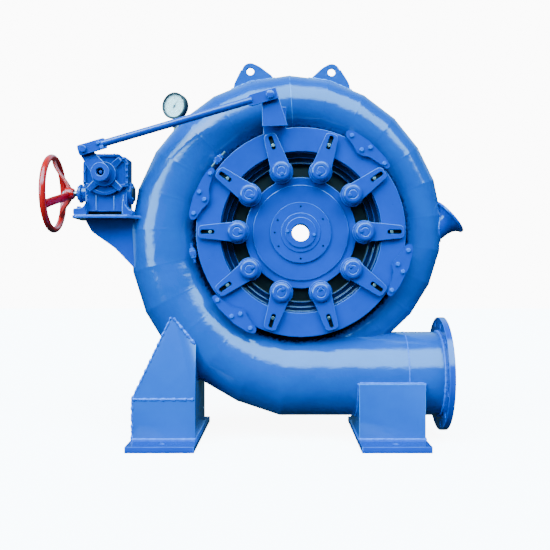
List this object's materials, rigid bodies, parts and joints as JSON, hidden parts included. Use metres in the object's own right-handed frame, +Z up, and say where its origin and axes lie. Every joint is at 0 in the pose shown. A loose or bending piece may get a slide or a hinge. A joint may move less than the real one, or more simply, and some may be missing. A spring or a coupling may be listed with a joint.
{
  "type": "small horizontal francis turbine casing with guide vane gear",
  "caption": "Spiral water turbine casing on two feet, with levers on a regulating ring that a handwheel, worm gearbox, crank and link rod turn.",
  "frame": {"origin": "middle of the footprint, on the floor under the base plates", "axes": "+Z up, +X along the inlet pipe towards its flange, -Y towards the side with the levers and the head cover"},
  "size_m": [1.6008, 0.6, 1.4648],
  "materials": {
    "blue_enamel": "gloss",
    "bare_steel": "turned",
    "red_enamel": "gloss",
    "black_enamel": "satin",
    "brass": "turned",
    "white_dial": "printed",
    "clear_glass": "polished"
  },
  "bodies": {
    "casing": {"spiral_segment_1": "blue_enamel", "spiral_segment_2": "blue_enamel", "spiral_segment_3": "blue_enamel", "spiral_segment_4": "blue_enamel", "spiral_segment_5": "blue_enamel", "spiral_segment_6": "blue_enamel", "spiral_segment_7": "blue_enamel", "front_stay_ring": "blue_enamel", "back_stay_ring": "blue_enamel", "inlet_pipe": "blue_enamel", "inlet_flange": "blue_enamel", "side_branch": "blue_enamel", "head_cover": "blue_enamel", "seal_housing": "blue_enamel", "seal_cover": "blue_enamel", "back_cover": "blue_enamel", "ring_keeper_1": "blue_enamel", "ring_keeper_2": "blue_enamel", "ring_keeper_3": "blue_enamel", "ring_keeper_4": "blue_enamel", "upper_stop_screw": "blue_enamel", "left_stop_screw": "blue_enamel", "left_base_plate": "blue_enamel", "right_base_plate": "blue_enamel", "left_foot": "blue_enamel", "right_foot": "blue_enamel", "left_lifting_eye": "blue_enamel", "right_lifting_eye": "blue_enamel", "gearbox_bracket": "blue_enamel", "gearbox_housing": "blue_enamel", "worm_end_cap": "black_enamel", "pressure_gauge": "black_enamel", "gauge_pipe": "brass"},
    "ring": {"regulating_ring": "blue_enamel", "ring_arm": "blue_enamel"},
    "gate_1": {"guide_lever_1": "blue_enamel", "guide_vane_1": "bare_steel"},
    "gate_2": {"guide_lever_2": "blue_enamel", "guide_vane_2": "bare_steel"},
    "gate_3": {"guide_lever_3": "blue_enamel", "guide_vane_3": "bare_steel"},
    "gate_4": {"guide_lever_4": "blue_enamel", "guide_vane_4": "bare_steel"},
    "gate_5": {"guide_lever_5": "blue_enamel", "guide_vane_5": "bare_steel"},
    "gate_6": {"guide_lever_6": "blue_enamel", "guide_vane_6": "bare_steel"},
    "gate_7": {"guide_lever_7": "blue_enamel", "guide_vane_7": "bare_steel"},
    "gate_8": {"guide_lever_8": "blue_enamel", "guide_vane_8": "bare_steel"},
    "gate_9": {"guide_lever_9": "blue_enamel", "guide_vane_9": "bare_steel"},
    "gate_10": {"guide_lever_10": "blue_enamel", "guide_vane_10": "bare_steel"},
    "crank": {"crank_arm": "blue_enamel"},
    "rod": {"link_rod": "blue_enamel"},
    "wheel": {"handwheel": "red_enamel", "worm_shaft": "bare_steel"}
  },
  "joints": [
    {"name": "ring_turn", "type": "hinge", "parent": "casing", "child": "ring", "pos_m": [0.157, -0.14, 0.793], "axis": [0, -1, 0], "range_deg": [-7, 2]},
    {"name": "gate_1_turn", "type": "hinge", "parent": "casing", "child": "gate_1", "pos_m": [0.394, -0.16, 0.793], "axis": [0, -1, 0], "range_deg": [-22.94, 6.59]},
    {"name": "gate_2_turn", "type": "hinge", "parent": "casing", "child": "gate_2", "pos_m": [0.34874, -0.16, 0.93231], "axis": [0, -1, 0], "range_deg": [-22.94, 6.59]},
    {"name": "gate_3_turn", "type": "hinge", "parent": "casing", "child": "gate_3", "pos_m": [0.23024, -0.16, 1.0184], "axis": [0, -1, 0], "range_deg": [-22.94, 6.59]},
    {"name": "gate_4_turn", "type": "hinge", "parent": "casing", "child": "gate_4", "pos_m": [0.08376, -0.16, 1.0184], "axis": [0, -1, 0], "range_deg": [-22.94, 6.59]},
    {"name": "gate_5_turn", "type": "hinge", "parent": "casing", "child": "gate_5", "pos_m": [-0.03474, -0.16, 0.93231], "axis": [0, -1, 0], "range_deg": [-22.94, 6.59]},
    {"name": "gate_6_turn", "type": "hinge", "parent": "casing", "child": "gate_6", "pos_m": [-0.08, -0.16, 0.793], "axis": [0, -1, 0], "range_deg": [-22.94, 6.59]},
    {"name": "gate_7_turn", "type": "hinge", "parent": "casing", "child": "gate_7", "pos_m": [-0.03474, -0.16, 0.65369], "axis": [0, -1, 0], "range_deg": [-22.94, 6.59]},
    {"name": "gate_8_turn", "type": "hinge", "parent": "casing", "child": "gate_8", "pos_m": [0.08376, -0.16, 0.5676], "axis": [0, -1, 0], "range_deg": [-22.94, 6.59]},
    {"name": "gate_9_turn", "type": "hinge", "parent": "casing", "child": "gate_9", "pos_m": [0.23024, -0.16, 0.5676], "axis": [0, -1, 0], "range_deg": [-22.94, 6.59]},
    {"name": "gate_10_turn", "type": "hinge", "parent": "casing", "child": "gate_10", "pos_m": [0.34874, -0.16, 0.65369], "axis": [0, -1, 0], "range_deg": [-22.94, 6.59]},
    {"name": "crank_turn", "type": "hinge", "parent": "casing", "child": "crank", "pos_m": [-0.579, -0.19, 1.01], "axis": [0, -1, 0], "range_deg": [-36.45, 10.45]},
    {"name": "rod_turn", "type": "hinge", "parent": "crank", "child": "rod", "pos_m": [-0.639, -0.215, 1.091], "axis": [0, -1, 0], "range_deg": [-10.13, 35.33]},
    {"name": "handwheel_turn", "type": "hinge", "parent": "casing", "child": "wheel", "pos_m": [-0.794, -0.075, 0.944], "axis": [1, 0, 0], "continuous": true}
  ],
  "couplings": [
    {"joint": "gate_1_turn", "follows": "ring_turn", "ratio": 3.27},
    {"joint": "gate_2_turn", "follows": "ring_turn", "ratio": 3.27},
    {"joint": "gate_3_turn", "follows": "ring_turn", "ratio": 3.27},
    {"joint": "gate_4_turn", "follows": "ring_turn", "ratio": 3.27},
    {"joint": "gate_5_turn", "follows": "ring_turn", "ratio": 3.27},
    {"joint": "gate_6_turn", "follows": "ring_turn", "ratio": 3.27},
    {"joint": "gate_7_turn", "follows": "ring_turn", "ratio": 3.27},
    {"joint": "gate_8_turn", "follows": "ring_turn", "ratio": 3.27},
    {"joint": "gate_9_turn", "follows": "ring_turn", "ratio": 3.27},
    {"joint": "gate_10_turn", "follows": "ring_turn", "ratio": 3.27},
    {"joint": "crank_turn", "follows": "ring_turn", "ratio": 5.2},
    {"joint": "rod_turn", "follows": "ring_turn", "ratio": -5.04}
  ]
}
